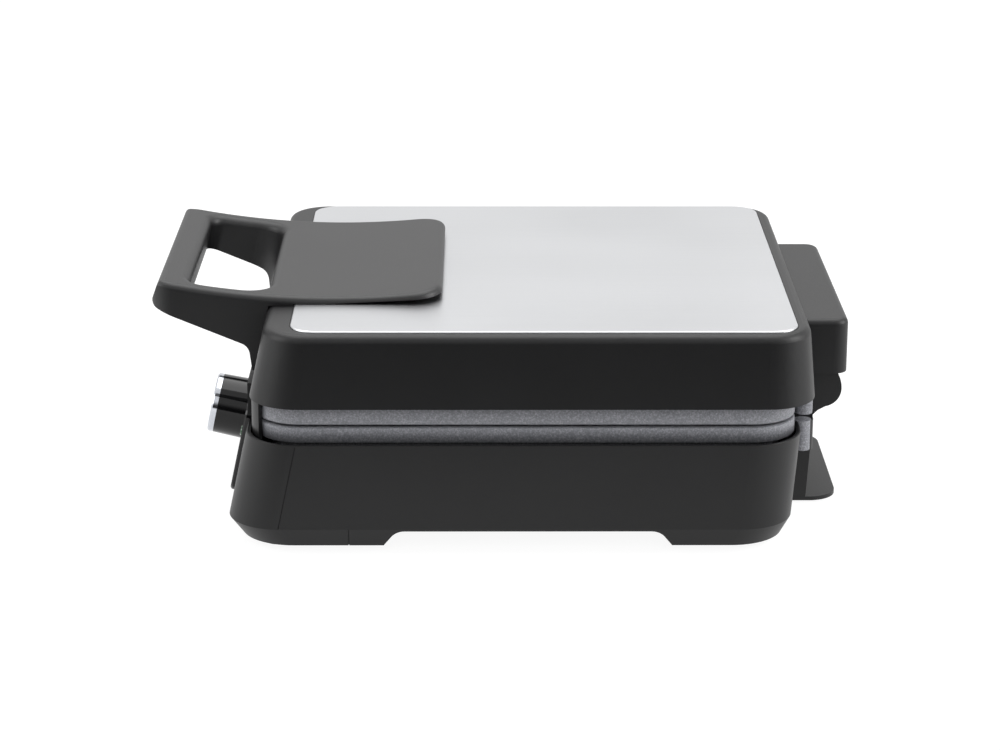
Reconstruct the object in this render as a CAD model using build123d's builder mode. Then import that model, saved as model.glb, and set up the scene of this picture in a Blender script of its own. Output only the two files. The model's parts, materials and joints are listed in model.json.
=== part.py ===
"""Belgian waffle maker: base, hinged lid, cast waffle plates, handle and control knob.

Frame: millimetres, origin on the table under the middle of the object, X across,
front (handle and knob) towards -Y, hinge towards +Y, Z up.
"""
from build123d import *
from math import cos, radians, sin, tan
import os

# Clearances
fit_gap = 0.3            # between separate pieces that sit beside each other
seat_gap = 0.1           # between a piece and the face it is fastened to
running_gap = 0.05       # radial, shaft in its hole

# Cast cooking plates
plate_half_width = 118.0
plate_front = -116.6
plate_rear = 140.0
plate_corner = 22.0
plate_height = 17.0
plate_rim_height = 13.0
plate_step = 8.0         # the deeper middle is this far inside the rim
plate_edge = 1.2
parting_height = 62.9    # middle of the slot between the two plates
parting_gap = 1.2
lug_x = 89.0
lug_width = 8.0
lug_rear = 147.6

# Waffle moulds, each with a grid of tapered teeth
mould_columns = 2
mould_rows = 2
mould_width = 104.0
mould_length = 113.0
mould_depth = 12.5
mould_corner = 9.0
mould_bridge = 9.0
mould_draft = 12.0
teeth_across = 5
teeth_along = 5
tooth_pitch_x = 19.4
tooth_pitch_y = 21.2
tooth_width = 14.2
tooth_length = 15.8
tooth_height = 11.3
tooth_draft = 12.0

# Base housing
base_half_width = 126.0
base_rear = 142.6
base_front = -121.6
rim_height = 55.8
base_corner = 26.0
base_wall = 2.0
side_draft = 0.7
rear_draft = 4.5
front_slope = 12.3
skirt_height = 5.0       # underside of the skirt above the table
bevel_height = 9.0       # bevel round the lower edge
bevel_depth = 8.0
side_bevel_depth = 3.0
rear_bevel_depth = 3.5
deck_thickness = 2.0

# Arches in the side walls between the feet
arch_front = -50.0
arch_rear = 75.0
arch_top = 13.0
arch_flare = 6.0
arch_radius = 8.0

# Front cover with the control panel
seam_top = -97.0
seam_bottom = -106.0
seam_low_height = 14.2
tab_rear = -72.7
seam_gap = 0.4
seam_lap = 2.0           # the inner half of the wall overlaps behind the seam
panel_half_width = 85.0
panel_wall_height = 73.9
panel_wall_front = -122.0
panel_wall_thickness = 4.4
fascia_bottom = 18.0
fascia_top = 62.0
fascia_thickness = 3.2
fascia_proud = 2.2
fascia_corner = 6.0
fascia_edge = 0.8

# Control knob
knob_height = 32.7       # height of its axis at the housing
knob_diameter = 31.0
knob_length = 18.0
knob_draft = 1.5
knob_gap = 0.6
knob_ring_length = 3.0
knob_ring_width = 2.2
knob_cap_sink = 0.8
knob_shaft = 6.0
knob_shaft_reach = 9.0
thermostat_width = 20.0
thermostat_depth = 8.0
lens_diameter = 5.0
lens_x = 58.0
lens_rise = 8.0          # lens centres above the knob axis
lens_proud = 1.0

# Lid
lid_half_width = 128.0
lid_front = -119.4
lid_rear = 148.3
lid_bottom = 74.5
lid_top = 109.2
lid_corner = 24.0
lid_wall = 2.0
lid_roof = 3.0
lid_draft = 5.0
lid_edge = 4.0
panel_half = 119.5
panel_front = -99.4
panel_rear = 139.1
panel_corner = 13.0
panel_thickness = 1.3
panel_top = 110.0
panel_edge = 0.8

# Hinge
hinge_y = 150.0
hinge_z = 66.0
rod_diameter = 6.0
rod_end_wall = 3.0
box_half_width = 72.5
box_rear = 168.0
box_bottom = 74.7
box_top = 101.8
box_wall = 2.0
box_corner = 7.0
box_edge = 3.0
knuckle_half_width = 69.0
knuckle_rear_radius = 15.7
knuckle_front_radius = 9.0
knuckle_corner = 9.2
knuckle_foot_y = 154.4
knuckle_foot_z = 55.0
lid_opening = 95.0
arm_x = 60.0
arm_thickness = 3.0
arm_eye = 7.5
arm_half_depth = 4.5
arm_foot = 14.0
arm_foot_height = 4.0
arm_slot_gap = 0.6
arm_slot_bottom = 56.8

# Block, post and foot behind the base
shoulder_half_width = 90.0
shoulder_rear = 150.4
shoulder_bottom = 41.0
shoulder_corner = 5.0
post_half_width = 50.0
post_rear_top = 154.4
post_rear_bottom = 152.1
flange_height = 3.3
flange_thickness = 2.0
flange_rear = 168.0
flange_corner = 14.0
pad_diameter = 8.0
pad_inset = 11.0
pad_edge = 0.4

# Handle, one moulding
handle_half_width = 74.0
handle_arm = 10.0
handle_front = -168.3    # foremost point of the grip bar
grip_tip_y = -169.2      # corner of its front and underside before rounding
grip_tip_height = 108.6
grip_tip_radius = 3.5
grip_top_y = -164.4
grip_top = 121.5
grip_rear = -149.5       # rear face of the grip bar at its top
handle_plan_corner = 12.0
tongue_corner = 15.0
tongue_rear = -28.5
tongue_rear_top = 116.6
tongue_rear_bottom = 112.8
tongue_low_y = -97.0     # lowest place of the curved top line
tongue_low = 113.5
tongue_lift = -85.0      # from here the tongue leaves the panel
arm_under_low = 89.0
arm_under_radius = 6.0
apron_bottom = 77.1
apron_thickness = 1.5
apron_flare = 1.5
gap_front_corner = 7.0
gap_rear_corner = 14.0
handle_edge = 3.2
gap_edge = 4.5

# Feet
foot_diameter = 12.0
foot_x = 103.0
foot_front = -108.0
foot_rear = 112.0
foot_stem = 6.0
foot_stem_length = 5.0
foot_boss_wall = 2.5
foot_edge = 1.2

# Bottom cover and electric parts
cover_height = 13.3
cover_thickness = 2.0
element_diameter = 6.5
element_half_width = 78.0
element_front = -84.0
element_rear = 122.0
element_bend = 40.0
sheet = 1.0
tray_depth = 13.0
tray_lip = 3.5
terminal_width = 46.0
terminal_depth = 16.0
terminal_height = 12.0
gland_diameter = 12.0
gland_x = -72.0
gland_z = 28.0
gland_proud = 5.0
gland_flange = 16.0
gland_bore = 6.5

os.makedirs("parts", exist_ok=True)

# Heights and places that follow from the sizes above
lower_top = parting_height - parting_gap / 2
upper_bottom = parting_height + parting_gap / 2
lower_bottom = lower_top - plate_height
plate_middle = (plate_front + plate_rear) / 2
deck_top = lower_top - plate_rim_height - seat_gap
carrier_bottom = upper_bottom + plate_rim_height + seat_gap
bevel_top = skirt_height + bevel_height
shelf_front = panel_wall_front + panel_wall_thickness + fit_gap
rod_reach = knuckle_half_width - rod_end_wall


def save(piece, label):
    """Label one finished piece and write it."""
    piece.label = label
    export_step(piece, f"parts/{label}.step")


def front_at(height):
    """Y of the sloping front of the base at a height."""
    return base_front - (rim_height - height) * tan(radians(front_slope))


def rear_at(height):
    """Y of the leaning rear wall of the base at a height."""
    return base_rear - (rim_height - height) * tan(radians(rear_draft))


def lid_front_at(height):
    """Y of the sloping front of the lid at a height."""
    return lid_front + (height - lid_bottom) * tan(radians(front_slope))


def polar(radius, angle):
    """Point in the YZ plane round the hinge axis."""
    return (hinge_y + radius * cos(radians(angle)), hinge_z + radius * sin(radians(angle)))


def rounded_outline(half_width, front, rear, corner, mode=Mode.ADD):
    """Rounded rectangle on the current sketch, set by its front and rear lines."""
    with Locations((0, (front + rear) / 2)):
        RectangleRounded(2 * half_width, rear - front, corner, mode=mode)


# Planes of the control panel: origin on the housing at the knob axis, Z out of it
panel_plane = Plane(
    origin=(0, front_at(knob_height), knob_height),
    x_dir=(1, 0, 0),
    z_dir=(0, -cos(radians(front_slope)), sin(radians(front_slope))),
)
panel_axis = Axis((0, 0, 0), panel_plane.z_dir)
fascia_low = (fascia_bottom - knob_height) / cos(radians(front_slope))
fascia_high = (fascia_top - knob_height) / cos(radians(front_slope))
fascia_back = fascia_proud - fascia_thickness
knob_base = fascia_proud + knob_gap

# Plane of the cord gland, on the rear wall, Z out of it
gland_plane = Plane(
    origin=(gland_x, rear_at(gland_z), gland_z),
    x_dir=(1, 0, 0),
    z_dir=(0, cos(radians(rear_draft)), -sin(radians(rear_draft))),
)


# Base housing: one tapered, bevelled form that the skin and the front cover share
def base_form(inset):
    """Closed form of the housing, drawn in by a wall thickness."""
    levels = (
        (skirt_height, side_bevel_depth, bevel_depth, rear_bevel_depth),
        (bevel_top, 0.0, 0.0, 0.0),
        (rim_height, 0.0, 0.0, 0.0),
    )
    with BuildPart() as form:
        for height, side_in, front_in, rear_in in levels:
            lean = (rim_height - height) * tan(radians(side_draft))
            with BuildSketch(Plane.XY.offset(height)):
                rounded_outline(
                    base_half_width - lean - side_in - inset,
                    front_at(height) + front_in + inset,
                    rear_at(height) - rear_in - inset,
                    base_corner - inset,
                )
        loft(ruled=True)
    return form.part


outer_form = base_form(0.0)
inner_form = base_form(base_wall)

with BuildPart() as housing:
    add(outer_form)
    add(inner_form, mode=Mode.SUBTRACT)
    with BuildSketch(Plane.YZ):
        with BuildLine():
            FilletPolyline(
                (arch_front - arch_flare, 0),
                (arch_front - arch_flare, skirt_height),
                (arch_front, arch_top),
                (arch_rear, arch_top),
                (arch_rear + arch_flare, skirt_height),
                (arch_rear + arch_flare, 0),
                radius=(0, 0, arch_radius, arch_radius, 0, 0),
                close=True,
            )
        make_face()
    extrude(amount=2 * base_half_width, both=True, mode=Mode.SUBTRACT)


def seam_points(shift):
    """Corners, in side view, of the region in front of the seam, moved back by a gap."""
    return (
        (handle_front, 0),
        (tab_rear + shift, 0),
        (tab_rear + shift, seam_low_height),
        (seam_bottom + shift, seam_low_height),
        (seam_top + shift, rim_height + seam_gap),
        (handle_front, rim_height + seam_gap),
    )


# Inner half of the wall, which laps behind the seam so that no light shows through
with BuildPart() as seam_tongue:
    add(base_form(base_wall / 2 + seat_gap))
    add(inner_form, mode=Mode.SUBTRACT)
    with BuildSketch(Plane.YZ):
        with BuildLine():
            Polyline(*seam_points(seam_gap + fit_gap), close=True)
        make_face()
        with BuildLine():
            Polyline(*seam_points(seam_gap - seam_lap), close=True)
        make_face(mode=Mode.SUBTRACT)
    extrude(amount=2 * base_half_width, both=True, mode=Mode.INTERSECT)

with BuildPart() as seam_rebate:
    add(base_form(base_wall / 2))
    with BuildSketch(Plane.YZ):
        with BuildLine():
            Polyline(*seam_points(0), close=True)
        make_face()
        with BuildLine():
            Polyline(*seam_points(-seam_lap), close=True)
        make_face(mode=Mode.SUBTRACT)
    extrude(amount=2 * base_half_width, both=True, mode=Mode.INTERSECT)

with BuildPart() as base_shell:
    add(housing.part)
    with BuildSketch(Plane.YZ):
        with BuildLine():
            Polyline(*seam_points(seam_gap), close=True)
        make_face()
    extrude(amount=2 * base_half_width, both=True, mode=Mode.SUBTRACT)
    add(seam_tongue.part)
    # deck that carries the lower plate, let into the skin behind the seam
    with BuildSketch(Plane.XY.offset(deck_top - deck_thickness)) as deck:
        rounded_outline(
            base_half_width - base_wall - 2 * fit_gap,
            shelf_front,
            rear_at(deck_top) - base_wall / 2,
            base_corner - base_wall,
        )
        with Locations((0, (seam_top + arch_rear) / 2 + fit_gap)):
            Rectangle(2 * base_half_width - base_wall, arch_rear - seam_top - 4 * fit_gap)
        rounded_outline(
            plate_half_width - plate_step + 1,
            plate_front + plate_step - 1,
            plate_rear - plate_step + 1,
            plate_corner - plate_step + 1,
            mode=Mode.SUBTRACT,
        )
    extrude(amount=deck_thickness)
    with BuildSketch(gland_plane):
        Circle(gland_diameter / 2 + running_gap)
    extrude(amount=3 * base_wall, both=True, mode=Mode.SUBTRACT)
save(base_shell.part, "base_shell")

with BuildPart() as front_cover:
    add(housing.part)
    with BuildSketch(Plane.YZ):
        with BuildLine():
            Polyline(*seam_points(0), close=True)
        make_face()
    extrude(amount=2 * base_half_width, both=True, mode=Mode.INTERSECT)
    add(seam_rebate.part, mode=Mode.SUBTRACT)
    # upright wall that closes the front of the plates up to the lid
    with BuildSketch(Plane.XY.offset(deck_top)):
        with Locations((0, panel_wall_front + panel_wall_thickness / 2)):
            Rectangle(2 * panel_half_width, panel_wall_thickness)
    extrude(amount=panel_wall_height - deck_top)
    # pocket for the fascia and hole for the knob shaft
    with BuildSketch(panel_plane.offset(fascia_back - seat_gap)):
        with Locations((0, (fascia_low + fascia_high) / 2)):
            RectangleRounded(
                2 * (panel_half_width + fit_gap),
                fascia_high - fascia_low + 2 * fit_gap,
                fascia_corner,
            )
    extrude(amount=4 * fascia_thickness, mode=Mode.SUBTRACT)
    with BuildSketch(panel_plane):
        Circle(knob_shaft / 2 + running_gap)
    extrude(amount=base_wall * 3, both=True, mode=Mode.SUBTRACT)
save(front_cover.part, "front_cover")

with BuildPart() as control_fascia:
    with BuildSketch(panel_plane.offset(fascia_back)):
        with Locations((0, (fascia_low + fascia_high) / 2)):
            RectangleRounded(2 * panel_half_width, fascia_high - fascia_low, fascia_corner)
    extrude(amount=fascia_thickness)
    chamfer(control_fascia.faces().sort_by(panel_axis)[-1].edges(), fascia_edge)
    with BuildSketch(panel_plane):
        Circle(knob_shaft / 2 + running_gap)
        with Locations((-lens_x, lens_rise), (lens_x, lens_rise)):
            Circle(lens_diameter / 2 + running_gap)
    extrude(amount=2 * fascia_thickness, both=True, mode=Mode.SUBTRACT)
save(control_fascia.part, "control_fascia")

# Control knob: body on its shaft, bright ring and dark cap
with BuildPart() as knob_body:
    with BuildSketch(panel_plane.offset(knob_base)):
        Circle(knob_diameter / 2)
    extrude(amount=knob_length - knob_ring_length, taper=knob_draft)
    with BuildSketch(panel_plane.offset(-knob_shaft_reach)):
        Circle(knob_shaft / 2)
    extrude(amount=knob_shaft_reach + knob_base)
save(knob_body.part, "knob_body")

knob_face = knob_base + knob_length - knob_ring_length
knob_front_radius = knob_diameter / 2 - (knob_length - knob_ring_length) * tan(radians(knob_draft))
with BuildPart() as knob_ring:
    with BuildSketch(panel_plane.offset(knob_face)):
        Circle(knob_front_radius)
        Circle(knob_front_radius - knob_ring_width, mode=Mode.SUBTRACT)
    extrude(amount=knob_ring_length)
    outer_rim = knob_ring.faces().sort_by(panel_axis)[-1].edges().sort_by(SortBy.RADIUS)[-1]
    chamfer(outer_rim, knob_ring_width / 3)
save(knob_ring.part, "knob_ring")

with BuildPart() as knob_cap:
    with BuildSketch(panel_plane.offset(knob_face)):
        Circle(knob_front_radius - knob_ring_width - running_gap)
    extrude(amount=knob_ring_length - knob_cap_sink)
    with BuildSketch(panel_plane.offset(knob_face + knob_ring_length - knob_cap_sink)):
        with Locations((0, knob_front_radius / 2)):
            SlotOverall(knob_front_radius / 2, knob_ring_width / 2, rotation=90)
    extrude(amount=-knob_cap_sink, mode=Mode.SUBTRACT)
save(knob_cap.part, "knob_cap")

for side, lens_name in ((-1, "power_lens"), (1, "ready_lens")):
    with BuildPart() as lens:
        with BuildSketch(panel_plane.offset(fascia_back)):
            with Locations((side * lens_x, lens_rise)):
                Circle(lens_diameter / 2)
        extrude(amount=fascia_thickness + lens_proud)
        chamfer(lens.faces().sort_by(panel_axis)[-1].edges(), lens_proud / 2)
    save(lens.part, lens_name)

with BuildPart() as thermostat:
    with BuildSketch(panel_plane.offset(-base_wall - seat_gap)):
        RectangleRounded(thermostat_width, thermostat_width, fascia_corner)
    extrude(amount=-thermostat_depth)
    chamfer(thermostat.faces().sort_by(panel_axis)[0].edges(), lens_proud)
    with BuildSketch(panel_plane):
        Circle(knob_shaft / 2 + running_gap)
    extrude(amount=-knob_shaft_reach - fit_gap, mode=Mode.SUBTRACT)
save(thermostat.part, "thermostat")


# Cooking plates: stepped casting, draughted moulds and rows of tapered teeth
mould_spacing_x = mould_width + mould_bridge
mould_spacing_y = mould_length + mould_bridge
mouth_plane = Plane(origin=(0, plate_middle, lower_top), z_dir=(0, 0, -1))
mould_floor_plane = Plane(origin=(0, plate_middle, lower_top - mould_depth))

with BuildPart() as cast_plate:
    with BuildSketch(Plane.XY.offset(lower_top - plate_rim_height)):
        rounded_outline(plate_half_width, plate_front, plate_rear, plate_corner)
    extrude(amount=plate_rim_height)
    fillet(cast_plate.faces().sort_by(Axis.Z)[-1].edges(), plate_edge)
    with BuildSketch(Plane.XY.offset(lower_bottom)):
        rounded_outline(
            plate_half_width - plate_step,
            plate_front + plate_step,
            plate_rear - plate_step,
            plate_corner - plate_step,
        )
    extrude(amount=plate_height - plate_rim_height)
    with BuildSketch(mouth_plane):
        with GridLocations(mould_spacing_x, mould_spacing_y, mould_columns, mould_rows):
            RectangleRounded(mould_width, mould_length, mould_corner)
    extrude(amount=mould_depth, taper=mould_draft, mode=Mode.SUBTRACT)
    with BuildSketch(mould_floor_plane):
        with GridLocations(mould_spacing_x, mould_spacing_y, mould_columns, mould_rows):
            with GridLocations(tooth_pitch_x, tooth_pitch_y, teeth_across, teeth_along):
                Rectangle(tooth_width, tooth_length)
    extrude(amount=tooth_height, taper=tooth_draft)

with BuildPart() as upper_waffle_plate:
    add(mirror(cast_plate.part, about=Plane.XY.offset(parting_height)))
save(upper_waffle_plate.part, "upper_waffle_plate")

with BuildPart() as lower_waffle_plate:
    add(cast_plate.part)
    # rear lugs that rest on the block behind the base
    lug_bottom = rim_height + 2 * fit_gap
    with BuildSketch(Plane.XY.offset(lug_bottom)):
        with Locations(*[(side * lug_x, (plate_rear + lug_rear) / 2 - plate_edge) for side in (-1, 1)]):
            Rectangle(lug_width, lug_rear - plate_rear + 2 * plate_edge)
    extrude(amount=lower_top - plate_edge - lug_bottom)
save(lower_waffle_plate.part, "lower_waffle_plate")


def heating_element(height):
    """Tube bent into a U, both ends at the rear, centred at a height."""
    route_points = (
        (-element_half_width, element_rear),
        (-element_half_width, element_front),
        (element_half_width, element_front),
        (element_half_width, element_rear),
    )
    with BuildPart() as element:
        with BuildLine(Plane.XY.offset(height)) as route:
            FilletPolyline(*route_points, radius=element_bend)
        with BuildSketch(Plane(origin=route.line @ 0, z_dir=route.line % 0)):
            Circle(element_diameter / 2)
        sweep(path=route.line)
    return element.part


def reflector(outer_height, direction):
    """Sheet tray round an element, its lip at outer_height and its floor past the element."""
    with BuildPart() as tray:
        with BuildSketch(Plane.XY.offset(outer_height)):
            rounded_outline(
                plate_half_width - tray_lip / 2,
                plate_front + tray_lip / 2,
                plate_rear - tray_lip / 2,
                plate_corner - tray_lip / 2,
            )
        extrude(amount=direction * sheet)
        with BuildSketch(Plane.XY.offset(outer_height)):
            rounded_outline(
                plate_half_width - tray_lip - sheet,
                plate_front + tray_lip + sheet,
                plate_rear - tray_lip - sheet,
                plate_corner - tray_lip - sheet,
            )
        extrude(amount=direction * tray_depth)
        with BuildSketch(Plane.XY.offset(outer_height)):
            rounded_outline(
                plate_half_width - tray_lip - 2 * sheet,
                plate_front + tray_lip + 2 * sheet,
                plate_rear - tray_lip - 2 * sheet,
                plate_corner - tray_lip - 2 * sheet,
            )
        extrude(amount=direction * (tray_depth - sheet), mode=Mode.SUBTRACT)
    return tray.part


element_offset = element_diameter / 2 + seat_gap
save(heating_element(lower_bottom - element_offset), "lower_heating_element")
save(heating_element(upper_bottom + plate_height + element_offset), "upper_heating_element")
save(reflector(deck_top - deck_thickness - seat_gap, -1), "lower_reflector")
save(reflector(carrier_bottom + deck_thickness + seat_gap, 1), "upper_reflector")

# Bottom cover, recessed above the skirt, with a boss for each foot
foot_places = [(side * foot_x, place) for side in (-1, 1) for place in (foot_front, foot_rear)]
cover_share = (bevel_top - cover_height) / bevel_height
with BuildPart() as bottom_cover:
    lean = (rim_height - cover_height) * tan(radians(side_draft))
    with BuildSketch(Plane.XY.offset(cover_height)):
        rounded_outline(
            base_half_width - lean - side_bevel_depth * cover_share - base_wall - fit_gap,
            front_at(cover_height + cover_thickness) + bevel_depth * cover_share + base_wall + fit_gap,
            rear_at(cover_height) - rear_bevel_depth * cover_share - base_wall - fit_gap,
            base_corner - base_wall - fit_gap,
        )
    extrude(amount=cover_thickness)
    with BuildSketch(Plane.XY.offset(skirt_height)):
        with Locations(*foot_places):
            Circle(foot_diameter / 2 + foot_boss_wall)
    extrude(amount=cover_height - skirt_height)
    with BuildSketch(Plane.XY.offset(skirt_height)):
        with Locations(*foot_places):
            Circle(foot_stem / 2 + running_gap)
    extrude(amount=foot_stem_length + fit_gap, mode=Mode.SUBTRACT)
save(bottom_cover.part, "bottom_cover")

foot_names = ("foot_front_left", "foot_rear_left", "foot_front_right", "foot_rear_right")
for foot_name, place in zip(foot_names, foot_places):
    with BuildPart() as foot:
        with BuildSketch(Plane.XY):
            with Locations(place):
                Circle(foot_diameter / 2)
        extrude(amount=skirt_height)
        chamfer(foot.faces().sort_by(Axis.Z)[0].edges(), foot_edge)
        with BuildSketch(Plane.XY.offset(skirt_height)):
            with Locations(place):
                Circle(foot_stem / 2)
        extrude(amount=foot_stem_length)
    save(foot.part, foot_name)

with BuildPart() as terminal_block:
    with BuildSketch(Plane.XY.offset(cover_height + cover_thickness)):
        with Locations((0, element_rear - terminal_depth)):
            Rectangle(terminal_width, terminal_depth)
    extrude(amount=terminal_height)
    top_edges = terminal_block.faces().sort_by(Axis.Z)[-1].edges()
    chamfer(top_edges, lens_proud)
save(terminal_block.part, "terminal_block")

# Cord gland through the rear wall
with BuildPart() as cord_gland:
    with BuildSketch(gland_plane.offset(-base_wall - gland_proud / 2)):
        Circle(gland_diameter / 2)
    extrude(amount=base_wall + gland_proud * 1.5)
    with BuildSketch(gland_plane.offset(fit_gap)):
        Circle(gland_flange / 2)
    extrude(amount=base_wall)
    with BuildSketch(gland_plane):
        Circle(gland_bore / 2)
    extrude(amount=3 * gland_proud, both=True, mode=Mode.SUBTRACT)
save(cord_gland.part, "cord_gland")

# Hinge tower: block on the rear of the base and the knuckle under the lid's box
tower_front_low = (rear_at(shoulder_bottom) + seat_gap, shoulder_bottom)
tower_front_high = (rear_at(rim_height) + seat_gap, rim_height + fit_gap)
half_chord = (knuckle_rear_radius**2 - knuckle_front_radius**2) ** 0.5
flat_direction = radians(90 - lid_opening)
flat_start = polar(knuckle_front_radius, 180 - lid_opening)
flat_end = (
    flat_start[0] + half_chord * cos(flat_direction),
    flat_start[1] + half_chord * sin(flat_direction),
)
corner_centre = (hinge_y + knuckle_rear_radius - knuckle_corner, hinge_z)
corner_end = (
    corner_centre[0] + knuckle_corner * cos(radians(-80)),
    corner_centre[1] + knuckle_corner * sin(radians(-80)),
)
with BuildPart() as hinge_tower:
    with BuildSketch(Plane.XY.offset(shoulder_bottom)):
        with BuildLine():
            Polyline(
                (-shoulder_half_width, base_rear - base_corner / 2),
                (-shoulder_half_width, shoulder_rear),
                (shoulder_half_width, shoulder_rear),
                (shoulder_half_width, base_rear - base_corner / 2),
                close=True,
            )
        block = make_face()
        fillet(block.vertices().group_by(Axis.Y)[-1], shoulder_corner)
    extrude(amount=rim_height - shoulder_bottom + fit_gap)
    with BuildSketch(Plane.YZ):
        with BuildLine():
            Polyline(
                (base_rear - 2 * base_corner, shoulder_bottom - fit_gap),
                tower_front_low,
                (tower_front_high[0], rim_height),
                tower_front_high,
                (base_rear - 2 * base_corner, rim_height + fit_gap),
                close=True,
            )
        make_face()
    extrude(amount=2 * shoulder_half_width, both=True, mode=Mode.SUBTRACT)
    with BuildSketch(Plane.YZ):
        with BuildLine():
            knuckle_top = CenterArc(
                (hinge_y, hinge_z), knuckle_front_radius, 180, -lid_opening
            )
            Line(knuckle_top @ 1, flat_end)
            ThreePointArc(
                flat_end,
                polar(knuckle_rear_radius, (90 - lid_opening + 30) / 2),
                (corner_centre[0] + knuckle_corner, hinge_z),
            )
            CenterArc(corner_centre, knuckle_corner, 0, -80)
            Polyline(
                corner_end,
                (knuckle_foot_y, knuckle_foot_z),
                (shoulder_rear, knuckle_foot_z - 4),
                (tower_front_high[0], knuckle_foot_z - 4),
                tower_front_high,
                (hinge_y - knuckle_front_radius, rim_height + fit_gap),
                knuckle_top @ 0,
            )
        make_face()
    extrude(amount=knuckle_half_width, both=True)
    with BuildSketch(Plane.XY.offset(shoulder_bottom)):
        with Locations((0, (tower_front_high[0] + knuckle_foot_y) / 2)):
            Rectangle(2 * post_half_width, knuckle_foot_y - tower_front_high[0])
    extrude(amount=knuckle_foot_z - shoulder_bottom)
    with BuildSketch(Plane.YZ):
        with Locations((hinge_y, hinge_z)):
            Circle(rod_diameter / 2 + running_gap)
    extrude(amount=rod_reach + fit_gap, both=True, mode=Mode.SUBTRACT)
    with BuildSketch(Plane.XY.offset(arm_slot_bottom)):
        with Locations((-arm_x, hinge_y), (arm_x, hinge_y)):
            Rectangle(arm_thickness + 2 * arm_slot_gap, 4 * knuckle_rear_radius)
    extrude(amount=2 * knuckle_rear_radius, mode=Mode.SUBTRACT)
save(hinge_tower.part, "hinge_tower")

with BuildPart() as hinge_rod:
    with BuildSketch(Plane.YZ):
        with Locations((hinge_y, hinge_z)):
            Circle(rod_diameter / 2)
    extrude(amount=rod_reach, both=True)
save(hinge_rod.part, "hinge_rod")

for side, arm_name in ((-1, "hinge_arm_left"), (1, "hinge_arm_right")):
    with BuildPart() as arm:
        with BuildSketch(Plane.YZ.offset(side * arm_x)):
            with Locations((hinge_y, hinge_z)):
                Circle(arm_eye)
            roof = box_top - box_wall - seat_gap
            with Locations((hinge_y, (hinge_z + roof) / 2)):
                Rectangle(2 * arm_half_depth, roof - hinge_z)
            with Locations((hinge_y + (arm_foot - arm_half_depth) / 2, roof - arm_foot_height / 2)):
                Rectangle(arm_foot + arm_half_depth, arm_foot_height)
            with Locations((hinge_y, hinge_z)):
                Circle(rod_diameter / 2 + running_gap, mode=Mode.SUBTRACT)
        extrude(amount=arm_thickness / 2, both=True)
    save(arm.part, arm_name)

# Rear foot: post down the back of the base and a flange that reaches behind it
with BuildPart() as rear_foot:
    with BuildSketch(Plane.YZ):
        with BuildLine():
            Polyline(
                (rear_at(shoulder_bottom) + seat_gap, shoulder_bottom - seat_gap),
                (post_rear_top, shoulder_bottom - seat_gap),
                (post_rear_bottom, flange_height),
                (post_rear_bottom, flange_height - flange_thickness),
                (rear_at(bevel_top) + seat_gap, flange_height - flange_thickness),
                (rear_at(bevel_top) + seat_gap, bevel_top),
                close=True,
            )
        make_face()
    extrude(amount=post_half_width, both=True)
    with BuildSketch(Plane.XY.offset(flange_height - flange_thickness)) as flange:
        with Locations((0, (post_rear_bottom + flange_rear) / 2 - flange_thickness)):
            Rectangle(2 * post_half_width, flange_rear - post_rear_bottom + 2 * flange_thickness)
        fillet(flange.vertices().group_by(Axis.Y)[-1], flange_corner)
    extrude(amount=flange_thickness)
save(rear_foot.part, "rear_foot")

pad_y = flange_rear - pad_inset
for side, pad_name in ((-1, "rear_pad_left"), (1, "rear_pad_right")):
    with BuildPart() as pad:
        with BuildSketch(Plane.XY):
            with Locations((side * (post_half_width - pad_inset), pad_y)):
                Circle(pad_diameter / 2)
        extrude(amount=flange_height - flange_thickness - seat_gap)
        chamfer(pad.faces().sort_by(Axis.Z)[0].edges(), pad_edge)
    save(pad.part, pad_name)


# Lid: tapered moulding, open below, with the box over the knuckle at its rear
panel_seat = panel_top - panel_thickness - seat_gap
lid_ceiling = panel_seat - lid_roof


def lid_form(top, inset):
    """Closed form of the lid up to a height, drawn in by a wall thickness."""
    with BuildPart() as form:
        for height in (lid_bottom, top):
            drawn = (height - lid_bottom) * tan(radians(lid_draft)) + inset
            with BuildSketch(Plane.XY.offset(height)):
                rounded_outline(
                    lid_half_width - drawn,
                    lid_front_at(height) + inset,
                    lid_rear - drawn,
                    lid_corner - drawn,
                )
        loft(ruled=True)
    return form.part


box_front = lid_rear - lid_corner / 2
with BuildPart() as lid_shell:
    add(lid_form(lid_top, 0.0))
    fillet(lid_shell.faces().sort_by(Axis.Z)[-1].edges(), lid_edge)
    with BuildPart(mode=Mode.PRIVATE) as box:
        with BuildSketch(Plane.XY.offset(box_bottom)) as box_outline:
            with Locations((0, (box_front + box_rear) / 2)):
                Rectangle(2 * box_half_width, box_rear - box_front)
            fillet(box_outline.vertices().group_by(Axis.Y)[-1], box_corner)
        extrude(amount=box_top - box_bottom)
        fillet(box.faces().sort_by(Axis.Z)[-1].edges(), box_edge)
    add(box.part)
    add(lid_form(lid_ceiling, lid_wall), mode=Mode.SUBTRACT)
    with BuildSketch(Plane.XY.offset(lid_bottom)) as box_hollow:
        with Locations((0, (box_front + box_rear) / 2 - box_wall)):
            Rectangle(2 * (box_half_width - box_wall), box_rear - box_front)
        fillet(box_hollow.vertices().group_by(Axis.Y)[-1], box_corner - box_wall)
    extrude(amount=box_top - box_wall - lid_bottom, mode=Mode.SUBTRACT)
    with BuildSketch(Plane.XY.offset(panel_seat)):
        rounded_outline(
            panel_half + fit_gap, panel_front - fit_gap, panel_rear + fit_gap, panel_corner
        )
    extrude(amount=lid_top, mode=Mode.SUBTRACT)
save(lid_shell.part, "lid_shell")

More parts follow.
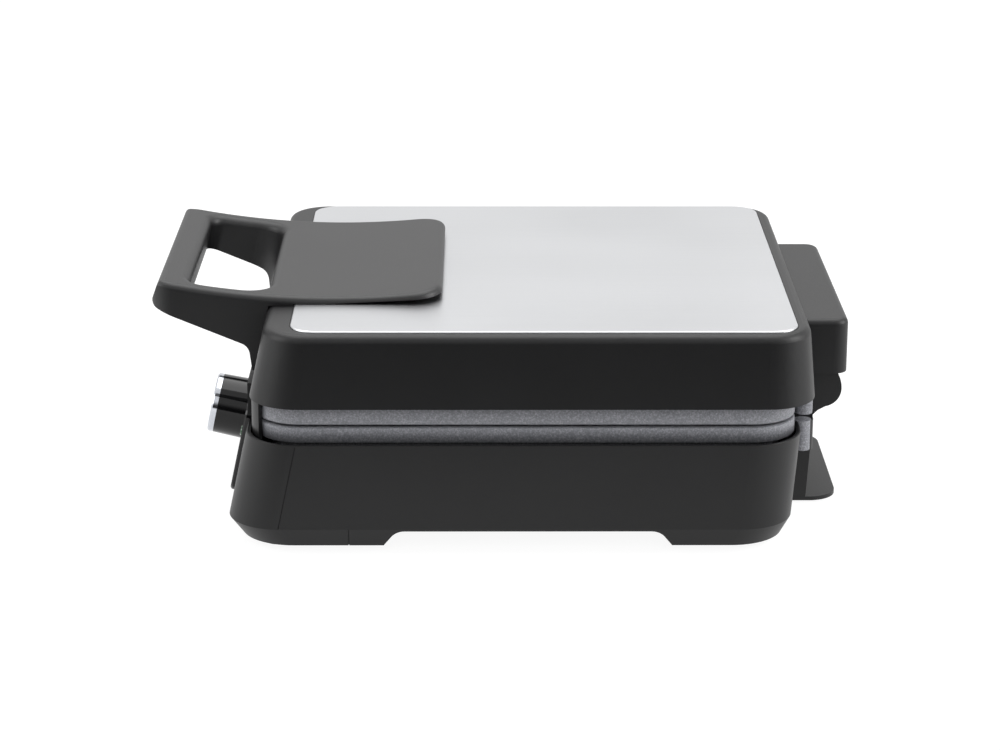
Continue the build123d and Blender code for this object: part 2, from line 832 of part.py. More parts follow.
with BuildPart() as top_panel:
    with BuildSketch(Plane.XY.offset(panel_top - panel_thickness)):
        rounded_outline(panel_half, panel_front, panel_rear, panel_corner)
    extrude(amount=panel_thickness)
    fillet(top_panel.faces().sort_by(Axis.Z)[-1].edges(), panel_edge)
save(top_panel.part, "top_panel")

with BuildPart() as plate_carrier:
    carrier_drawn = (carrier_bottom + deck_thickness - lid_bottom) * tan(radians(lid_draft))
    with BuildSketch(Plane.XY.offset(carrier_bottom)):
        rounded_outline(
            lid_half_width - carrier_drawn - lid_wall - fit_gap,
            lid_front_at(carrier_bottom + deck_thickness) + lid_wall + fit_gap,
            lid_rear - carrier_drawn - lid_wall - fit_gap,
            lid_corner - lid_wall,
        )
        with Locations((0, plate_rear + box_half_width)):
            Rectangle(2 * (box_half_width + box_wall), 2 * box_half_width, mode=Mode.SUBTRACT)
        rounded_outline(
            plate_half_width - plate_step + 1,
            plate_front + plate_step - 1,
            plate_rear - plate_step + 1,
            plate_corner - plate_step + 1,
            mode=Mode.SUBTRACT,
        )
    extrude(amount=deck_thickness)
save(plate_carrier.part, "plate_carrier")


# Handle: side view of the whole moulding, cut to its plan view and by the leaning finger gap
under_panel = panel_top + seat_gap
under_border = lid_top + seat_gap
tongue_root = panel_front - 2 * fit_gap
gap_half_width = handle_half_width - handle_arm
lean = tan(radians(front_slope))
apron_face = lid_front_at(apron_bottom) - apron_thickness
gap_front = grip_rear - (grip_top - apron_bottom) * lean

with BuildPart() as finger_gap:
    with BuildSketch(Plane.XY.offset(apron_bottom - fit_gap)) as gap_plan:
        with Locations((0, (gap_front + apron_face) / 2)):
            Rectangle(2 * gap_half_width, apron_face - gap_front)
        fillet(gap_plan.vertices().group_by(Axis.Y)[0], gap_front_corner)
        fillet(gap_plan.vertices().group_by(Axis.Y)[-1], gap_rear_corner)
    extrude(amount=grip_top, dir=(0, lean, 1))

with BuildPart() as handle:
    with BuildSketch(Plane.YZ):
        with BuildLine():
            Spline(
                (tongue_rear, tongue_rear_top),
                (tongue_low_y, tongue_low),
                (grip_top_y, grip_top),
            )
            FilletPolyline(
                (grip_top_y, grip_top),
                (grip_tip_y, grip_tip_height),
                (apron_face - apron_flare, arm_under_low),
                (apron_face, apron_bottom),
                (lid_front_at(apron_bottom) - seat_gap, apron_bottom),
                (lid_front_at(under_border) - seat_gap, under_border),
                (tongue_root, under_border),
                (tongue_root, under_panel),
                (tongue_lift, under_panel),
                (tongue_rear, tongue_rear_bottom),
                (tongue_rear, tongue_rear_top),
                radius=(grip_tip_radius, arm_under_radius, 0, 0, 0, 0, 0, 0, 0),
            )
        make_face()
    extrude(amount=handle_half_width, both=True)
    with BuildSketch(Plane.XY) as handle_plan:
        with Locations((0, (grip_tip_y + tongue_rear) / 2)):
            Rectangle(2 * handle_half_width, tongue_rear - grip_tip_y)
        fillet(handle_plan.vertices().group_by(Axis.Y)[0], handle_plan_corner)
        fillet(handle_plan.vertices().group_by(Axis.Y)[-1], tongue_corner)
    extrude(amount=2 * grip_top, mode=Mode.INTERSECT)
    top_face = handle.faces().filter_by(lambda face: face.normal_at().Z > 0.9).sort_by(SortBy.AREA)[-1]
    fillet(top_face.edges(), handle_edge)
    add(finger_gap.part, mode=Mode.SUBTRACT)
    gap_rim = handle.edges(Select.LAST).filter_by(lambda edge: edge.bounding_box().min.Z > under_panel)
    fillet(gap_rim, gap_edge)
save(handle.part, "handle")
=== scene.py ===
"""Looks of the waffle maker: finishes, small fittings, studio and camera.

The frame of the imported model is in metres: X across, front towards -Y, Z up.
Sizes that end up in the frame are written in millimetres and multiplied by MM.
"""

import json
from math import atan, cos, radians, sin, tan
from typing import NamedTuple

import bmesh
import bpy
from mathutils import Matrix, Vector


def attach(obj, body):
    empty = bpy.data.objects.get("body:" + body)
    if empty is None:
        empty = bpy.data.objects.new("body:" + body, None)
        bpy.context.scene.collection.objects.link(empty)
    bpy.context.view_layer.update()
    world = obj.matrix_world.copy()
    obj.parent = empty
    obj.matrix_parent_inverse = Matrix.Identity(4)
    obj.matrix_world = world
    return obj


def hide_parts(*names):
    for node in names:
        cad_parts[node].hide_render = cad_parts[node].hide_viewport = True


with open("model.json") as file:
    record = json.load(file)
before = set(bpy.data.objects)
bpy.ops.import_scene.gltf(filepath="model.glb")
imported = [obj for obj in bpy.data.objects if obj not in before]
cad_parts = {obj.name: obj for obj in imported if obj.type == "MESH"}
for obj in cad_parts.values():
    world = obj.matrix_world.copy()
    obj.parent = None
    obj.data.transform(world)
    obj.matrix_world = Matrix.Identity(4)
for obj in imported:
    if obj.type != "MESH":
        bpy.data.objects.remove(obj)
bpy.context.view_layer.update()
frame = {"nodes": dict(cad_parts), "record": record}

MM = 0.001
QUARTER = radians(90)
SHARP_ANGLE = radians(35)
MERGE_DISTANCE = 0.002 * MM
CUT_DISTANCE = 0.0001 * MM
ROUND_STEPS = 2             # segments of a rounded edge
BOTH_SIDES = (-1, 1)

# Camera of the photograph, 1000 by 750 pixels
LENS_PIXELS = 2870.3
LOOK_DOWN = radians(17.5)
ROLL = radians(0.10)
CAMERA_PLACE = Vector((1.398, -0.0094, 0.492))
VANISHING_X = 480.0
PICTURE_WIDTH = 1000.0
SENSOR_WIDTH = 36.0
NEAR_CLIP = 0.05

# Floor and surroundings of the studio, in metres
FLOOR_HALF = 3.0
FLOOR_NEAR_EDGE = 0.34
FLOOR_COLOUR = "#f4f4f4"
FLOOR_ROUGHNESS = 0.9
FLOOR_GLOW = 1.15
FLOOR_GLOW_SHARE = 0.8
AMBIENT = 0.22
DARK_SIDE = 0.97
DARK_LOW = 1.5              # how much faster the dark side fades upwards than sideways
DARK_FROM = 0.35
DARK_TO = 0.9

# Soft boxes: place, point aimed at, size, watts, and whether surfaces mirror them
LAMPS = {
    "overhead": ((-0.35, 0.0, 1.5), (0, 0, 0.08), (1.8, 1.6), 24, True),
    "front_end": ((0.25, -1.5, 0.75), (0, 0, 0.06), (0.9, 1.1), 8, True),
    "hinge_end": ((0.35, 1.5, 0.75), (0, 0, 0.06), (0.9, 1.1), 18, True),
    "camera_side": ((1.7, 0.0, 1.0), (0, 0, 0.07), (1.6, 0.7), 17, False),
}

# Housing, in millimetres
LIP_RADIUS = 0.5            # of the rounded lip on the housing's rim
LIP_HALF_WIDTH = 125.35
LIP_FRONT = -121.0
LIP_REAR = 142.0
LIP_CORNER = 25.4
LIP_HEIGHT = 55.65
WING_CENTRE = (96.0, -94.6) # of the curve of the front cover's wings
WING_INNER = 22.8
WING_OUTER = 24.6
WING_LOW = 50.5
WING_HIGH = 73.7
WING_ROOT = 84.0            # half width at which the wings leave the straight wall
WING_REACH = radians(34)
# Corners of the thin black strip that paints the seam's shadow along the top of the front cover's tab
TAB_PAINTED_SHADOW_LOW = (125.2, -105.9, 14.0)
TAB_PAINTED_SHADOW_HIGH = (125.56, -72.5, 14.4)

# Plates, in millimetres
LEDGE_HEIGHT = 55.0         # below it the lower plate's wall is drawn in
LEDGE_STEP = 0.1
PLATE_HALF_WIDTH = 118.0
PLATE_HALF_DEPTH = 128.3
PLATE_MIDDLE = 11.7
PLATE_DRAWN_WIDTH = 112.0
PLATE_DRAWN_DEPTH = 122.3
WALL_FROM_X = 110.5         # vertices beyond these belong to the plate's outer wall
WALL_FRONT = -109.0
WALL_REAR = 132.5
CORNER_X = 96.0
CORNER_FRONT = -94.6
CORNER_REAR = 118.0
CORNER_HALF_DEPTH = 106.3
CORNER_INNER = 15.0
LUG_FRONT = 140.3
POST_PLACE = (89.0, 145.2)  # posts at the back of the upper plate
POST_RADIUS = 4.2
POST_LOW = 60.4
POST_HIGH = 74.0
POST_EDGE = 0.5
BOSS_PLACE = (86.4, 145.0)  # bosses of the lower plate that they stand on
BOSS_RADIUS = 4.4
BOSS_LOW = 41.2
BOSS_HIGH = 56.4
BOSS_EDGE = 0.6

# Tongue of the handle, in millimetres
RIB_PLACES = (-52.0, 0.0, 52.0)
RIB_HALF_WIDTH = 4.0
RIB_FRONT = -31.0
RIB_REAR = -29.2
RIB_LOW = 110.05
RIB_HIGH = 113.4
RIB_EDGE = 0.3

# Control panel, in millimetres
PANEL_LEAN = radians(12.3)  # from upright
PANEL_TOP_FRONT = -121.6
PANEL_TOP_HEIGHT = 55.8
KNOB_HEIGHT = 32.7
DOT_COUNT = 7
DOT_START = 225             # degrees
DOT_TURN = 45
DOT_CIRCLE = 22.5
DOT_RADIUS = 0.5
DOT_GROWTH = 0.12           # more heat, bigger dot
DOT_LOW = 2.2
DOT_HIGH = 2.26
DOT_SIDES = 16
POINTER_LOW = (-0.6, 6.5, 17.75)
POINTER_HIGH = (0.6, 12.0, 17.86)

# Underside, in millimetres
SCREW_X = 95.0
SCREW_YS = (-85.0, 88.0)
SCREW_RADIUS = 3.4
SCREW_LOW = 12.2
SCREW_HIGH = 13.35
SCREW_EDGE = 0.4
SCREW_SLOT_HALF = (2.0, 0.4)
SCREW_SLOT_LOW = 12.1
SCREW_SLOT_HIGH = 12.3
FOOT_SCREW_PLACE = (38.0, 146.8)
FOOT_SCREW_RADIUS = 2.4
FOOT_SCREW_LOW = 0.9
FOOT_SCREW_HIGH = 1.4
FOOT_SCREW_EDGE = 0.2
# Cooling slots, drawn as flat black strips of painted shade rather than openings
VENT_COUNT = 9
VENT_START = -32.0
VENT_PITCH = 8.0
VENT_INNER = 14.0
VENT_OUTER = 50.0
VENT_HALF_WIDTH = 1.2
VENT_LOW = 13.2
VENT_HIGH = 13.35

# Colours of a finish lie between these factors of its noise
RAMP_START = 0.3
RAMP_END = 0.7


def linear(hex_colour):
    """sRGB hex to linear RGBA."""
    channels = [int(hex_colour[i:i + 2], 16) / 255 for i in (1, 3, 5)]
    return [c / 12.92 if c <= 0.04045 else ((c + 0.055) / 1.055) ** 2.4 for c in channels] + [1.0]


def add_node(tree, kind, settings=None, links=None):
    """Add one node to a tree with its settings and links."""
    node = tree.nodes.new(kind)
    for key, value in (settings or {}).items():
        if isinstance(key, str) and hasattr(node, key):
            setattr(node, key, value)
        else:
            node.inputs[key].default_value = value
    for key, source in (links or {}).items():
        tree.links.new(source, node.inputs[key])
    return node


class Grain(NamedTuple):
    """Noise whose cells are about a size in millimetres."""

    size: float
    detail: float
    octave_share: float = 0.5
    stretch: tuple = (1, 1, 1)


def make_finish(name, colours, roughness, grains, relief=0.0, **sockets):
    """Material on Object coordinates, given to the eye by one or two grains.

    The first grain runs through the colours. The last one moves the roughness from its lowest to its
    highest value and gives a relief, in millimetres. The other sockets are set on the shader.
    """
    material = bpy.data.materials.new(name)
    material.use_nodes = True
    tree = material.node_tree
    shader = tree.nodes["Principled BSDF"]
    for socket, value in sockets.items():
        shader.inputs[socket.replace("_", " ")].default_value = value
    place = add_node(tree, "ShaderNodeTexCoord")
    factors = []
    for grain in grains:
        scale = tuple(share / (grain.size * MM) for share in grain.stretch)
        mapping = add_node(tree, "ShaderNodeMapping", {"Scale": scale}, {"Vector": place.outputs["Object"]})
        settings = {"Scale": 1.0, "Detail": grain.detail, "Roughness": grain.octave_share}
        noise = add_node(tree, "ShaderNodeTexNoise", settings, {"Vector": mapping.outputs["Vector"]})
        factors.append(noise.outputs["Fac"])
    ramp = add_node(tree, "ShaderNodeValToRGB", None, {"Fac": factors[0]})
    stops = ramp.color_ramp.elements
    while len(stops) < len(colours):
        stops.new((RAMP_START + RAMP_END) / 2)
    for index, colour in enumerate(colours):
        stops[index].position = RAMP_START + (RAMP_END - RAMP_START) * index / (len(colours) - 1)
        stops[index].color = linear(colour)
    tree.links.new(ramp.outputs["Color"], shader.inputs["Base Color"])
    lowest, highest = roughness
    spread = add_node(tree, "ShaderNodeMapRange", {"To Min": lowest, "To Max": highest}, {"Value": factors[-1]})
    tree.links.new(spread.outputs["Result"], shader.inputs["Roughness"])
    if relief:
        bump = add_node(tree, "ShaderNodeBump", {"Distance": relief * MM, "Strength": 1.0},
                        {"Height": factors[-1]})
        tree.links.new(bump.outputs["Normal"], shader.inputs["Normal"])
    return material


TONE_DRIFT = Grain(45.0, 1.0)       # slow change of tone over a whole moulding

FINISHES = {
    # Injection-moulded ABS: a spark-eroded tool leaves a fine even texture and a satin sheen
    "black_plastic": make_finish(
        "satin_abs_black", ("#0d0d0e", "#101011"), (0.40, 0.48), (TONE_DRIFT, Grain(0.7, 3.0)), 0.025,
        IOR=1.53, Specular_IOR_Level=0.33,
    ),
    # Polished ABS: mirror-like over a black body, with the faintest unevenness
    "gloss_black_plastic": make_finish(
        "polished_abs_black", ("#0b0b0c", "#101011"), (0.06, 0.10), (Grain(20.0, 1.0),),
        IOR=1.54, Specular_IOR_Level=0.3,
    ),
    # Injection-moulded nylon: the same texture as the housing, a little finer and fuller in its sheen
    "handle_plastic": make_finish(
        "soft_satin_nylon_black", ("#0e0e0f", "#121213"), (0.40, 0.48), (TONE_DRIFT, Grain(0.6, 3.0)), 0.02,
        IOR=1.53, Specular_IOR_Level=0.45,
    ),
    # Die-cast aluminium under a speckled non-stick coat: grey flecks in a slightly pitted film.
    # The flecks are drawn at 0.8 mm, coarser than the real ones, so that they show
    "coated_cast_aluminium": make_finish(
        "nonstick_coated_cast_aluminium", ("#68696e", "#7b7c81", "#9c9da2"), (0.38, 0.55),
        (Grain(0.8, 3.0, 0.7), Grain(0.6, 2.0)), 0.06, IOR=1.5, Specular_IOR_Level=0.4,
    ),
    # Stainless sheet, belt-brushed front to back: long hairlines that smear the reflections
    "brushed_steel_sheet": make_finish(
        "brushed_stainless_sheet", ("#c6c7c9", "#cecfd1"), (0.26, 0.40),
        (Grain(120.0, 1.0), Grain(0.6, 4.0, stretch=(1, 0.012, 1))), 0.01, Metallic=1.0,
    ),
    # Bright chromium over moulded plastic: near mirror with a soft haze
    "chrome_trim": make_finish(
        "chrome_plated_abs", ("#c2c5cc", "#cdd0d6"), (0.10, 0.16), (Grain(3.0, 2.0),), Metallic=1.0,
    ),
    # Zinc-plated steel: grey metal with a cloudy surface
    "hinge_steel": make_finish(
        "zinc_plated_steel", ("#8f9193", "#a3a5a8"), (0.29, 0.41), (Grain(6.0, 3.0),), 0.03, Metallic=1.0,
    ),
    # Rolled aluminium sheet: brighter and smoother than the plated steel
    "reflector_sheet": make_finish(
        "rolled_aluminium_sheet", ("#b9bbbd", "#cccdcf"), (0.24, 0.36), (Grain(6.0, 3.0),), 0.03, Metallic=1.0,
    ),
    # Steel tube that has been red hot: brown-black scale
    "element_tube": make_finish(
        "heat_darkened_tube", ("#3a3633", "#56504b"), (0.44, 0.56), (Grain(6.0, 3.0),), 0.03, Metallic=1.0,
    ),
    # Glazed steatite: warm off-white with a low gloss
    "ceramic_block": make_finish(
        "glazed_steatite", ("#d8d2c4", "#e2ddd0"), (0.26, 0.34), (TONE_DRIFT, Grain(1.0, 3.0)), 0.01, IOR=1.53,
    ),
    # Tinted clear polycarbonate over a lamp that is off
    "red_lens": make_finish(
        "tinted_polycarbonate_red", ("#5a0a08", "#7a1410"), (0.12, 0.2), (Grain(2.0, 1.0),),
        IOR=1.58, Coat_Weight=0.5,
    ),
    "green_lens": make_finish(
        "tinted_polycarbonate_green", ("#0b3d18", "#125423"), (0.12, 0.2), (Grain(2.0, 1.0),),
        IOR=1.58, Coat_Weight=0.5,
    ),
    # Moulded rubber: dead matt, with a dusty bloom
    "rubber": make_finish(
        "moulded_rubber_black", ("#151515", "#222222"), (0.75, 0.9), (Grain(1.5, 3.0),), 0.04, IOR=1.5,
    ),
}
# Pad-printed ink: flat off-white that lies on the plastic
DIAL_INK = make_finish(
    "pad_printed_ink_white", ("#d8d8d6", "#e2e2e0"), (0.46, 0.54), (TONE_DRIFT, Grain(0.8, 3.0)), 0.005,
    IOR=1.53,
)


def dress_cad_nodes():
    """Give each carried-over node the finish of its slot."""
    for part in frame["record"]["subparts"]:
        obj = frame["nodes"][part["node"]]
        finish = FINISHES[part["material_slot"]]
        if not obj.material_slots:
            obj.data.materials.append(finish)
        for slot in obj.material_slots:
            slot.material = finish


def add_piece(name, build, body, slot=None):
    """Turn a bmesh into a piece that rides a body, in a slot's finish or else in the dial's ink."""
    bmesh.ops.remove_doubles(build, verts=build.verts, dist=MERGE_DISTANCE)
    bmesh.ops.recalc_face_normals(build, faces=build.faces)
    mesh = bpy.data.meshes.new(name)
    build.to_mesh(mesh)
    build.free()
    mesh.materials.append(FINISHES[slot] if slot else DIAL_INK)
    mesh.polygons.foreach_set("use_smooth", [True] * len(mesh.polygons))
    mesh.set_sharp_from_angle(angle=SHARP_ANGLE)
    obj = bpy.data.objects.new(name, mesh)
    bpy.context.scene.collection.objects.link(obj)
    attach(obj, body)
    return obj


def round_edges(build, edges, radius):
    """Round edges by a radius in millimetres."""
    bmesh.ops.bevel(build, geom=edges, offset=radius * MM, affect="EDGES", segments=ROUND_STEPS,
                    profile=0.5, material=-1)


def add_block(build, low, high, edge=0.0):
    """Block between two corners in millimetres, with its edges rounded by a radius."""
    size = [(b - a) * MM for a, b in zip(low, high)]
    middle = [(a + b) / 2 * MM for a, b in zip(low, high)]
    cube = bmesh.ops.create_cube(build, size=1.0)["verts"]
    bmesh.ops.scale(build, verts=cube, vec=size)
    bmesh.ops.translate(build, verts=cube, vec=middle)
    if edge:
        round_edges(build, list({side for vert in cube for side in vert.link_edges}), edge)


def add_pin(build, centre, radius, low, high, edge=0.0, turn=None, sides=24):
    """Upright pin round a centre in millimetres, turned by a matrix where it leans."""
    matrix = Matrix.Translation((centre[0] * MM, centre[1] * MM, (low + high) / 2 * MM))
    verts = bmesh.ops.create_cone(
        build, cap_ends=True, segments=sides, radius1=radius * MM, radius2=radius * MM,
        depth=(high - low) * MM, matrix=turn @ matrix if turn else matrix,
    )["verts"]
    if edge:
        rims = {side for vert in verts for side in vert.link_edges
                if any(len(face.verts) > 4 for face in side.link_faces)}
        round_edges(build, list(rims), edge)


def go_straight(build, edges, step):
    """Extrude a profile by a step in millimetres and give back its far edges."""
    made = bmesh.ops.extrude_edge_only(build, edges=edges)["geom"]
    bmesh.ops.translate(build, verts=[g for g in made if isinstance(g, bmesh.types.BMVert)],
                        vec=[v * MM for v in step])
    return [g for g in made if isinstance(g, bmesh.types.BMEdge)]


def go_round(build, edges, centre, angle, steps=10):
    """Spin a profile about an upright axis in millimetres and give back its far edges."""
    verts = list({vert for edge in edges for vert in edge.verts})
    made = bmesh.ops.spin(
        build, geom=verts + edges, cent=(centre[0] * MM, centre[1] * MM, 0), axis=(0, 0, 1),
        dvec=(0, 0, 0), angle=angle, steps=steps, use_duplicate=False,
    )["geom_last"]
    return [g for g in made if isinstance(g, bmesh.types.BMEdge)]


def rim_bead():
    """Rounded lip that runs along the top edge of the housing and catches a thin line of light."""
    build = bmesh.new()
    start = Matrix.Translation((LIP_HALF_WIDTH * MM, (LIP_FRONT + LIP_CORNER) * MM, LIP_HEIGHT * MM))
    ring = bmesh.ops.create_circle(build, segments=8, radius=LIP_RADIUS * MM,
                                   matrix=start @ Matrix.Rotation(QUARTER, 4, "X"))
    edges = list({edge for vert in ring["verts"] for edge in vert.link_edges})
    across = LIP_HALF_WIDTH - LIP_CORNER
    front = LIP_FRONT + LIP_CORNER
    rear = LIP_REAR - LIP_CORNER
    for step, corner in (
        ((0, rear - front, 0), (across, rear)),
        ((-2 * across, 0, 0), (-across, rear)),
        ((0, front - rear, 0), (-across, front)),
        ((2 * across, 0, 0), (across, front)),
    ):
        edges = go_straight(build, edges, step)
        edges = go_round(build, edges, corner, QUARTER)
    add_piece("housing_rim_lip", build, "base", "black_plastic")


def cover_wings():
    """Curved ends of the front cover's upright wall, which reach round the corners of the plates."""
    centre_x, centre_y = WING_CENTRE
    for side, name in zip(BOTH_SIDES, ("left", "right")):
        build = bmesh.new()
        corners = [(centre_y - WING_OUTER, WING_LOW), (centre_y - WING_INNER, WING_LOW),
                   (centre_y - WING_INNER, WING_HIGH), (centre_y - WING_OUTER, WING_HIGH)]
        verts = [build.verts.new(Vector((side * WING_ROOT, y, z)) * MM) for y, z in corners]
        edges = list(build.faces.new(verts).edges)
        edges = go_straight(build, edges, (side * (centre_x - WING_ROOT), 0, 0))
        edges = go_round(build, edges, (side * centre_x, centre_y), side * WING_REACH)
        bmesh.ops.edgeloop_fill(build, edges=edges)
        add_piece("cover_wing_" + name, build, "base", "black_plastic")


def paint_cover_tab_shadow():
    """Thin black strip that paints the shadow of the seam along the top of the front cover's low tab, on both
    sides.
    """
    build = bmesh.new()
    for side in BOTH_SIDES:
        inner, outer = sorted((side * TAB_PAINTED_SHADOW_LOW[0], side * TAB_PAINTED_SHADOW_HIGH[0]))
        add_block(build, (inner, *TAB_PAINTED_SHADOW_LOW[1:]), (outer, *TAB_PAINTED_SHADOW_HIGH[1:]))
    # Black rubber-finish strips: painted shadow of a seam that the cover does not have as a gap
    add_piece("cover_tab_painted_shadow", build, "base", "rubber")


def handle_ribs():
    """Short ribs between the lifted end of the tongue and the steel panel."""
    build = bmesh.new()
    for middle in RIB_PLACES:
        add_block(build, (middle - RIB_HALF_WIDTH, RIB_FRONT, RIB_LOW),
                  (middle + RIB_HALF_WIDTH, RIB_REAR, RIB_HIGH), RIB_EDGE)
    add_piece("tongue_support_ribs", build, "lid", "rubber")


def plate_posts():
    """Round posts at the back of the upper plate, and the lower plate's bosses below them."""
    for name, body, place, radius, low, high, edge in (
        ("upper_plate_posts", "lid", POST_PLACE, POST_RADIUS, POST_LOW, POST_HIGH, POST_EDGE),
        ("lower_plate_bosses", "base", BOSS_PLACE, BOSS_RADIUS, BOSS_LOW, BOSS_HIGH, BOSS_EDGE),
    ):
        build = bmesh.new()
        for side in BOTH_SIDES:
            add_pin(build, (side * place[0], place[1]), radius, low, high, edge)
        add_piece(name, build, body, "coated_cast_aluminium")


def on_outer_wall(across, along):
    """Whether a place in the plan of the lower plate, in millimetres, is on its outer wall."""
    past_sides = abs(across) > WALL_FROM_X or along < WALL_FRONT or along > WALL_REAR
    in_corner = abs(across) > CORNER_X and not CORNER_FRONT < along < CORNER_REAR
    reach = (abs(across) - CORNER_X) ** 2 + (abs(along - PLATE_MIDDLE) - CORNER_HALF_DEPTH) ** 2
    return past_sides or (in_corner and reach > CORNER_INNER ** 2)


def stepped_lower_plate():
    """Lower plate with its side wall undercut, so that a dark gap shows above the housing's rim."""
    build = bmesh.new()
    build.from_mesh(frame["nodes"]["lower_waffle_plate"].data)
    bmesh.ops.remove_doubles(build, verts=build.verts, dist=MERGE_DISTANCE)
    lugs = [face for face in build.faces if face.calc_center_median().y > LUG_FRONT * MM]
    bmesh.ops.delete(build, geom=lugs, context="FACES")
    bmesh.ops.holes_fill(build, edges=[edge for edge in build.edges if edge.is_boundary], sides=0)
    for height in (LEDGE_HEIGHT, LEDGE_HEIGHT - LEDGE_STEP):
        bmesh.ops.bisect_plane(
            build, geom=build.verts[:] + build.edges[:] + build.faces[:], dist=CUT_DISTANCE,
            plane_co=(0, 0, height * MM), plane_no=(0, 0, 1),
        )
    for vert in build.verts:
        across, along, height = (value / MM for value in vert.co)
        if height < LEDGE_HEIGHT - LEDGE_STEP / 2 and on_outer_wall(across, along):
            vert.co.x *= PLATE_DRAWN_WIDTH / PLATE_HALF_WIDTH
            depth = (along - PLATE_MIDDLE) * PLATE_DRAWN_DEPTH / PLATE_HALF_DEPTH
            vert.co.y = (PLATE_MIDDLE + depth) * MM
    piece = add_piece("lower_plate_undercut", build, "base", "coated_cast_aluminium")
    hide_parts("lower_waffle_plate")


def dial_marks():
    """Printed dots round the knob, growing with the heat, and the line on the knob that points at them."""
    panel_front = PANEL_TOP_FRONT - (PANEL_TOP_HEIGHT - KNOB_HEIGHT) * tan(PANEL_LEAN)
    turn = (Matrix.Translation((0, panel_front * MM, KNOB_HEIGHT * MM))
            @ Matrix.Rotation(QUARTER - PANEL_LEAN, 4, "X"))
    build = bmesh.new()
    for step in range(DOT_COUNT):
        angle = radians(DOT_START - DOT_TURN * step)
        add_pin(build, (DOT_CIRCLE * cos(angle), DOT_CIRCLE * sin(angle)), DOT_RADIUS + DOT_GROWTH * step,
                DOT_LOW, DOT_HIGH, turn=turn, sides=DOT_SIDES)
    add_piece("dial_dots", build, "base")
    build = bmesh.new()
    add_block(build, POINTER_LOW, POINTER_HIGH)
    bmesh.ops.transform(build, matrix=turn, verts=build.verts)
    add_piece("knob_pointer", build, "knob")


def underside_fittings():
    """Screws of the bottom cover and the rear foot, and black strips that paint the shade in the cover's
    cooling slots.
    """
    build = bmesh.new()
    slot_x, slot_y = SCREW_SLOT_HALF
    for side in BOTH_SIDES:
        across = side * SCREW_X
        for along in SCREW_YS:
            add_pin(build, (across, along), SCREW_RADIUS, SCREW_LOW, SCREW_HIGH, SCREW_EDGE)
            add_block(build, (across - slot_x, along - slot_y, SCREW_SLOT_LOW),
                      (across + slot_x, along + slot_y, SCREW_SLOT_HIGH))
    for side in BOTH_SIDES:
        add_pin(build, (side * FOOT_SCREW_PLACE[0], FOOT_SCREW_PLACE[1]), FOOT_SCREW_RADIUS,
                FOOT_SCREW_LOW, FOOT_SCREW_HIGH, FOOT_SCREW_EDGE)
    add_piece("cover_screws", build, "base", "hinge_steel")
    # Flat black strips on the bottom cover stand for the cooling slots: their darkness is painted shade, not
    # openings
    build = bmesh.new()
    for row in range(VENT_COUNT):
        along = VENT_START + VENT_PITCH * row
        for side in BOTH_SIDES:
            low, high = sorted((side * VENT_INNER, side * VENT_OUTER))
            add_block(build, (low, along - VENT_HALF_WIDTH, VENT_LOW),
                      (high, along + VENT_HALF_WIDTH, VENT_HIGH))
    add_piece("cooling_slot_painted_shade", build, "base", "rubber")


def background_rays(tree):
    """1 for camera, glossy and transmission rays, which see the white background, and 1 for glossy rays."""
    path = add_node(tree, "ShaderNodeLightPath")
    seen = add_node(tree, "ShaderNodeMath", {"operation": "MAXIMUM"},
                    {0: path.outputs["Is Camera Ray"], 1: path.outputs["Is Glossy Ray"]})
    seen = add_node(tree, "ShaderNodeMath", {"operation": "MAXIMUM"},
                    {0: seen.outputs[0], 1: path.outputs["Is Transmission Ray"]})
    return seen.outputs[0], path.outputs["Is Glossy Ray"]


def studio_floor():
    """White table top that ends short of the camera and keeps the object's shadow."""
    material = bpy.data.materials.new("matt_white_table")
    material.use_nodes = True
    tree = material.node_tree
    shader = tree.nodes["Principled BSDF"]
    shader.inputs["Base Color"].default_value = linear(FLOOR_COLOUR)
    shader.inputs["Roughness"].default_value = FLOOR_ROUGHNESS
    seen, _ = background_rays(tree)
    share = add_node(tree, "ShaderNodeMath", {"operation": "MULTIPLY", 1: FLOOR_GLOW_SHARE}, {0: seen})
    glow = add_node(tree, "ShaderNodeEmission", {"Color": (1, 1, 1, 1), "Strength": FLOOR_GLOW})
    mix = add_node(tree, "ShaderNodeMixShader", None,
                   {0: share.outputs[0], 1: shader.outputs[0], 2: glow.outputs[0]})
    tree.links.new(mix.outputs[0], tree.nodes["Material Output"].inputs["Surface"])
    build = bmesh.new()
    bmesh.ops.create_grid(build, x_segments=1, y_segments=1, size=FLOOR_HALF)
    bmesh.ops.translate(build, verts=build.verts, vec=(FLOOR_NEAR_EDGE - FLOOR_HALF, 0, 0))
    mesh = bpy.data.meshes.new("studio_floor")
    build.to_mesh(mesh)
    build.free()
    floor = bpy.data.objects.new("studio_floor", mesh)
    floor.data.materials.append(material)
    bpy.context.scene.collection.objects.link(floor)


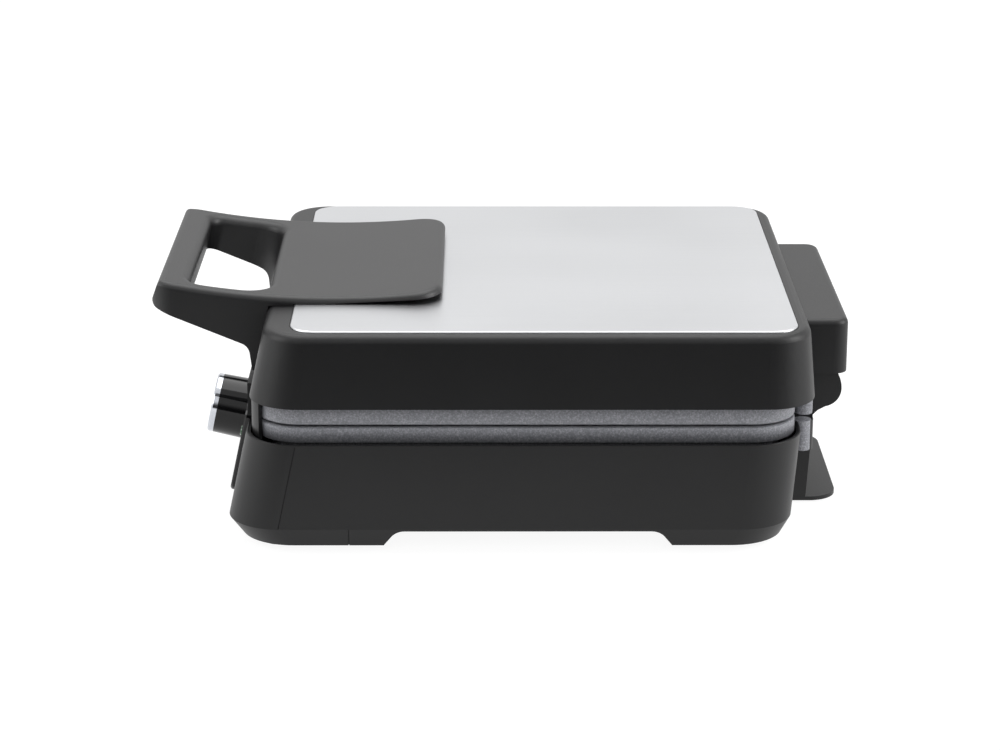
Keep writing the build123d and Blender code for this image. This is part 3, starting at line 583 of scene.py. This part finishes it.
def studio_world():
    """White surroundings to see, dim light from them, and a dark low side of the room for reflections."""
    world = bpy.data.worlds.new("studio")
    bpy.context.scene.world = world
    world.use_nodes = True
    tree = world.node_tree
    seen, glossy = background_rays(tree)
    level = add_node(tree, "ShaderNodeMix", {"data_type": "FLOAT", 2: AMBIENT, 3: 1.0}, {0: seen})
    direction = add_node(tree, "ShaderNodeTexCoord")
    axes = add_node(tree, "ShaderNodeSeparateXYZ", None, {0: direction.outputs["Generated"]})
    low_side = add_node(tree, "ShaderNodeMath", {"operation": "MULTIPLY_ADD", 1: -DARK_LOW},
                        {0: axes.outputs["Z"], 2: axes.outputs["X"]})
    dark = add_node(
        tree, "ShaderNodeMapRange",
        {"interpolation_type": "SMOOTHSTEP", "From Min": DARK_FROM, "From Max": DARK_TO,
         "To Min": 0.0, "To Max": DARK_SIDE},
        {"Value": low_side.outputs[0]},
    )
    cut = add_node(tree, "ShaderNodeMath", {"operation": "MULTIPLY"}, {0: dark.outputs["Result"], 1: glossy})
    strength = add_node(tree, "ShaderNodeMath", {"operation": "SUBTRACT"},
                        {0: level.outputs[0], 1: cut.outputs[0]})
    background = tree.nodes["Background"]
    tree.links.new(strength.outputs[0], background.inputs["Strength"])
    background.inputs["Color"].default_value = (1, 1, 1, 1)


def studio_lamps():
    """Rectangular soft boxes, each aimed at a point."""
    for name, (place, target, size, watts, mirrored) in LAMPS.items():
        data = bpy.data.lights.new(name, "AREA")
        data.shape = "RECTANGLE"
        data.size, data.size_y = size
        data.energy = watts
        obj = bpy.data.objects.new(name, data)
        bpy.context.scene.collection.objects.link(obj)
        obj.visible_glossy = mirrored
        obj.location = place
        aim = Vector(target) - Vector(place)
        obj.rotation_euler = aim.to_track_quat("-Z", "Y").to_euler()


def photo_camera():
    """Camera at the photograph's place, from its vanishing lines."""
    turn = atan((VANISHING_X - PICTURE_WIDTH / 2) * cos(LOOK_DOWN) / LENS_PIXELS)
    ahead = Vector((-cos(LOOK_DOWN) * cos(turn), -cos(LOOK_DOWN) * sin(turn), -sin(LOOK_DOWN)))
    right = Vector((-sin(turn), cos(turn), 0))
    up = right.cross(ahead)
    right_rolled = right * cos(ROLL) + up * sin(ROLL)
    up_rolled = up * cos(ROLL) - right * sin(ROLL)
    rotation = Matrix((right_rolled, up_rolled, -ahead)).transposed()
    data = bpy.data.cameras.new("photo_camera")
    data.sensor_fit = "HORIZONTAL"
    data.sensor_width = SENSOR_WIDTH
    data.lens = LENS_PIXELS * SENSOR_WIDTH / PICTURE_WIDTH
    data.clip_start = NEAR_CLIP
    camera = bpy.data.objects.new("photo_camera", data)
    bpy.context.scene.collection.objects.link(camera)
    camera.matrix_world = Matrix.Translation(CAMERA_PLACE) @ rotation.to_4x4()
    bpy.context.scene.camera = camera


dress_cad_nodes()
rim_bead()
cover_wings()
paint_cover_tab_shadow()
handle_ribs()
plate_posts()
stepped_lower_plate()
dial_marks()
underside_fittings()
studio_floor()
studio_world()
studio_lamps()
photo_camera()
bpy.context.scene.view_settings.view_transform = "Standard"
